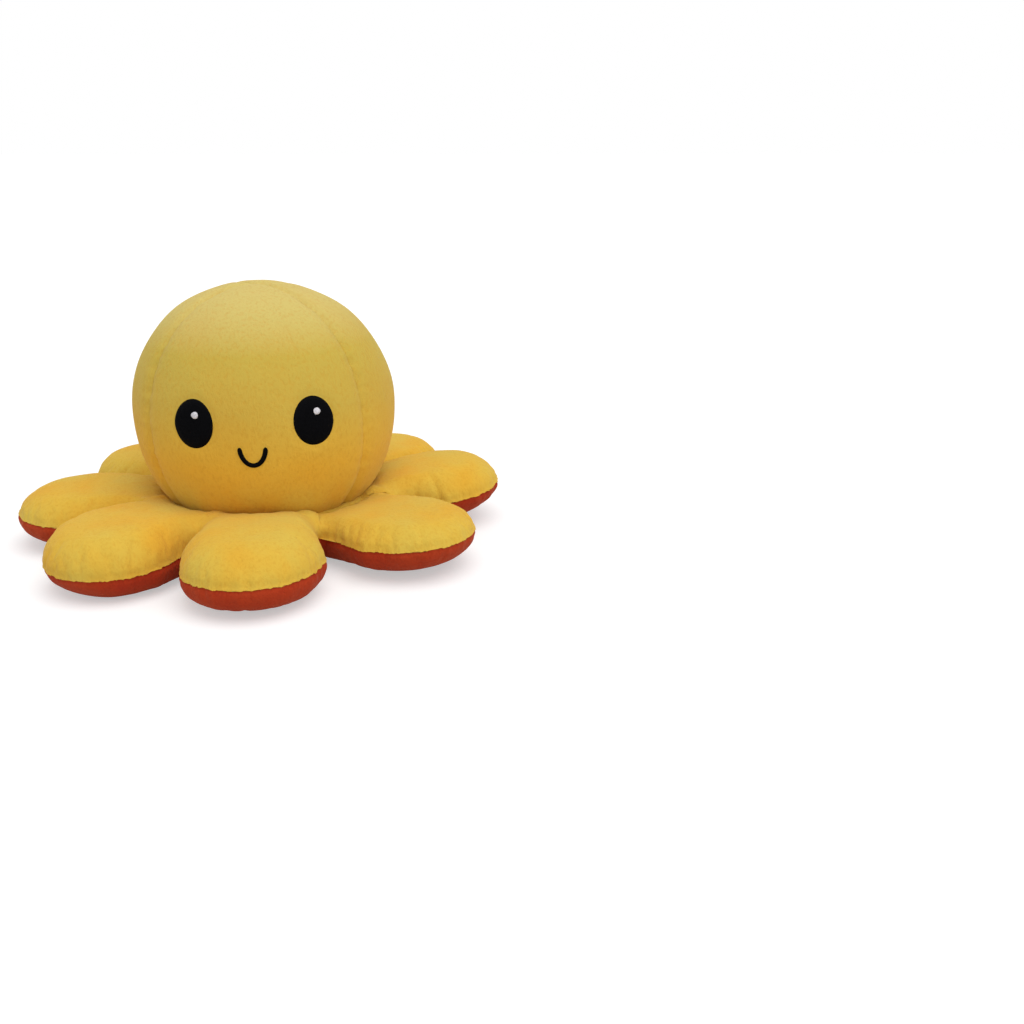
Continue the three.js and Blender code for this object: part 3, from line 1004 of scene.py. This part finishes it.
def add_mouth_rim():
    bpy.ops.mesh.primitive_torus_add(
        major_radius=RIM_RADIUS, minor_radius=RIM_HALF_WIDTH, major_segments=288, minor_segments=40,
        location=(0, 0, RIM_HALF_HEIGHT - RIM_SINK),
    )
    rim = added("mouth_rim_plush")
    rim.scale.z = RIM_HALF_HEIGHT / RIM_HALF_WIDTH
    to_origin(rim)

    def gather(point):
        flat = math.hypot(point.x, point.y)
        inner = max(0.0, min(1.0, (RIM_RADIUS + RIM_HALF_WIDTH - flat) / (2 * RIM_HALF_WIDTH)))
        wander = 0.5 * noise.noise(point / RIM_WANDER)
        fold = math.cos(GATHERS * math.radians(turn_of(point)) + wander)
        out = around(turn_of(point), 1, 0)
        moved = point + out * (RIM_PULL * inner ** 2 * fold) + UP * (RIM_RIPPLE * inner * fold)
        moved.z = max(moved.z + lumps(point, RIM_LUMPS), 0)
        return moved

    reshape(rim, gather)
    shade_soft(rim)
    wear(rim, "orange_plush")
    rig.replaces(rim, "mouth_rim")
    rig.ride(rim, "head")
    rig.padded(rim, 0.8)


# Embroidery: satin stitches that lie on the cloth

def on_cloth(cloth, turn, height, inwards=False, tilt=0):
    """Gives a point by its lengths across and up the cloth and its height over it."""
    lean = Matrix.Rotation(math.radians(tilt), 2)
    tree = BVHTree.FromObject(cloth, bpy.context.evaluated_depsgraph_get())
    radius = POCKET_RADIUS if inwards else HEAD_RADIUS

    def place(across, up, raised):
        across, up = lean @ Vector((across, up))
        out = around(turn + math.degrees(across / radius), 1, 0)
        level = UP * (height + up)
        start, way = (level, out) if inwards else (level + out * 4 * radius, -out)
        hit, normal = tree.ray_cast(start, way)[:2]
        if normal.dot(way) > 0:
            normal = -normal
        return hit + normal * raised

    return place


def closed_stitches(patch, slot, node):
    """Gives a stitched sheet its thickness and puts it on the head."""
    with editing(patch):
        bpy.ops.mesh.remove_doubles(threshold=WELD)
    finish_with(patch, "SOLIDIFY", thickness=THREAD, offset=-1)
    shade_soft(patch)
    wear(patch, slot)
    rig.replaces(patch, node)
    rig.ride(patch, "head")
    return patch


def crest(share, threads):
    """One on top of each thread and none between two, at a share from -1 to 1 across them all."""
    return abs(math.sin(math.pi * threads * (share + 1) / 2))


def satin_patch(node, place, half_width, span, threads, loft, slot):
    """Upright threads side by side between the low and high edge that span gives."""
    bpy.ops.mesh.primitive_grid_add(x_subdivisions=4 * threads, y_subdivisions=14, size=2)
    patch = added(f"{node}_stitches")

    def stitch(point):
        low, high = span(point.x)
        up = (low + high) / 2 + (high - low) / 2 * point.y
        edge = min(1.0, (1 - point.x ** 2) ** 0.5 if abs(point.x) < 1 else 0.0)
        crown = (1 - point.y ** 4) * edge ** 0.6
        raised = crown * (loft + THREAD_RIDGE * crest(point.x, threads))
        return place(half_width * point.x, up, raised)

    reshape(patch, stitch)
    return closed_stitches(patch, slot, node)


def satin_line(node, place, path):
    """Short black threads side by side across a bent line, from -1 to 1 along it."""
    bpy.ops.mesh.primitive_grid_add(x_subdivisions=3 * LINE_THREADS, y_subdivisions=8, size=2)
    line = added(f"{node}_stitches")

    def stitch(point):
        t = point.x
        across, up = path(t)
        back, ahead = path(t - LINE_STEP), path(t + LINE_STEP)
        along = Vector((ahead[0] - back[0], ahead[1] - back[1])).normalized()
        ending = max(0.0, (abs(t) - LINE_ROUNDED_FROM) / (1 - LINE_ROUNDED_FROM))
        half = LINE_WIDTH / 2 * (1 - ending ** 2) ** 0.5 if ending < 1 else 0.0
        raised = (1 - point.y ** 4) * (LINE_LOFT + LINE_RIDGE * crest(t, LINE_THREADS))
        return place(across - along.y * half * point.y, up + along.x * half * point.y, raised)

    reshape(line, stitch)
    closed_stitches(line, "black_thread", node)


def oval(half_height, brow_slope=None):
    """Low and high edge of an oval at a share of its half width; a brow may cut it off from above."""
    def span(share):
        edge = half_height * (1 - min(1.0, share ** 2)) ** 0.5
        if brow_slope is None:
            return -edge, edge
        high = min(edge, BROW_HEIGHT + brow_slope * share * ANGRY_HALF[0])
        return min(-edge, high), high
    return span


def arc(half_width, rise):
    """A bent line that rises in the middle."""
    def path(t):
        return half_width * math.sin(t * math.pi / 2), rise * math.cos(t * math.pi / 2)
    return path


def add_eye(cloth, mood, side, seat, half_width, span, threads, glint_shift):
    """A black eye on the cloth and a white glint on the eye."""
    eye = satin_patch(
        f"{mood}_eye_{side}", on_cloth(cloth, **seat), half_width, span, threads, EYE_LOFT, "black_thread"
    )
    shine = on_cloth(eye, **seat)

    def glint_place(across, up, raised):
        return shine(across + glint_shift[0], up + glint_shift[1], raised)

    satin_patch(
        f"{mood}_eye_glint_{side}", glint_place, GLINT_HALF[0], oval(GLINT_HALF[1]), GLINT_THREADS,
        GLINT_LOFT, "white_thread",
    )


def add_happy_face(front):
    for side, turn in EYE_TURNS.items():
        seat = {"turn": turn, "height": EYE_HEIGHT, "tilt": EYE_TILTS[side]}
        add_eye(front, "happy", side, seat, EYE_HALF[0], oval(EYE_HALF[1]), HAPPY_THREADS, GLINT_SHIFT)
    satin_line("happy_smile", on_cloth(front, SMILE_TURN, SMILE_HEIGHT), arc(SMILE_HALF, -SMILE_DEPTH))


def add_angry_face(front):
    for side, sign in (("left", -1), ("right", 1)):
        seat = {"turn": sign * ANGRY_TURN, "height": ANGRY_HEIGHT, "inwards": True}
        span = oval(ANGRY_HALF[1], sign * BROW_SLOPE)
        add_eye(front, "angry", side, seat, ANGRY_HALF[0], span, ANGRY_THREADS, ANGRY_GLINT)
    satin_line("angry_frown", on_cloth(front, 0, FROWN_HEIGHT, inwards=True), arc(FROWN_HALF, FROWN_RISE))


def sway_head():
    """Leans the finished head and its face a little towards +X at its middle."""
    def sway(point):
        height = (point.z - HEAD_CENTRE) / HEAD_HALF_HEIGHT
        return point + Vector((HEAD_SWAY * max(0.0, 1 - height ** 2), 0, 0))

    for piece in bpy.data.objects:
        if piece.name.startswith(("head_", "happy_")) and piece.name.endswith(("_plush", "_stitches")):
            reshape(piece, sway)


# Camera, floor, backdrop and light

def add_camera():
    """Stands where the photograph was taken from."""
    data = bpy.data.cameras.new("camera")
    camera = bpy.data.objects.new("camera", data)
    bpy.context.scene.collection.objects.link(camera)
    camera.location = CAMERA_PLACE
    camera.rotation_euler = (math.radians(90 - CAMERA_DOWN), 0, math.radians(-CAMERA_RIGHT))
    data.sensor_width = SENSOR
    data.lens = SENSOR * FOCAL_PIXELS / PHOTO_PIXELS
    bpy.context.scene.camera = camera


def seen_share(nodes, links):
    """One for what the camera sees, also in a reflection or through glass."""
    rays = nodes.new("ShaderNodeLightPath")
    seen = rays.outputs["Is Camera Ray"]
    for kind in ("Is Glossy Ray", "Is Transmission Ray"):
        either = nodes.new("ShaderNodeMath")
        either.operation = "MAXIMUM"
        links.new(seen, either.inputs[0])
        links.new(rays.outputs[kind], either.inputs[1])
        seen = either.outputs[0]
    return seen


def add_stage():
    bpy.ops.mesh.primitive_plane_add(size=FLOOR_SIZE)
    floor = added("floor")
    finish, nodes, links, shader = new_finish("pale_floor")
    shader.inputs["Base Color"].default_value = (FLOOR_GREY, FLOOR_GREY, FLOOR_GREY, 1)
    shader.inputs["Roughness"].default_value = 1
    shader.inputs["Specular IOR Level"].default_value = 0
    shader.inputs["Emission Color"].default_value = (1, 1, 1, 1)
    scale = nodes.new("ShaderNodeMath")
    scale.operation = "MULTIPLY"
    scale.inputs[1].default_value = FLOOR_GLOW
    links.new(seen_share(nodes, links), scale.inputs[0])
    links.new(scale.outputs[0], shader.inputs["Emission Strength"])
    floor.data.materials.append(finish)
    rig.stage(floor)


def add_world():
    world = bpy.data.worlds.new("studio")
    bpy.context.scene.world = world
    world.use_nodes = True
    nodes, links = world.node_tree.nodes, world.node_tree.links
    background = nodes["Background"]
    background.inputs["Color"].default_value = (1, 1, 1, 1)
    strength = nodes.new("ShaderNodeMapRange")
    strength.inputs["To Min"].default_value = WORLD_LIGHT
    strength.inputs["To Max"].default_value = 1.0
    links.new(seen_share(nodes, links), strength.inputs["Value"])
    links.new(strength.outputs["Result"], background.inputs["Strength"])


def add_sun(name, tilt, heading, softness, strength):
    """Soft light that is equally strong everywhere."""
    data = bpy.data.lights.new(name, "SUN")
    data.angle = math.radians(softness)
    data.energy = strength
    lamp = bpy.data.objects.new(name, data)
    bpy.context.scene.collection.objects.link(lamp)
    lamp.rotation_euler = (-around(heading, math.sin(math.radians(tilt)), math.cos(math.radians(tilt)))
                           ).to_track_quat("-Z", "Y").to_euler()


add_camera()
head_gores = add_head()
add_neck()
pocket_gores = add_pocket()
add_mouth_rim()
add_tentacles()
add_happy_face(head_gores["front"])
add_angry_face(pocket_gores["front"])
sway_head()
add_stage()
add_world()
for name, settings in SUNS.items():
    add_sun(name, *settings)

bpy.context.scene.view_settings.view_transform = "Standard"
low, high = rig.bounds()
with open("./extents.json", "w") as sizes:
    json.dump({"cad": [list(cad_low), list(cad_high)], "visual": [list(low), list(high)]}, sizes)
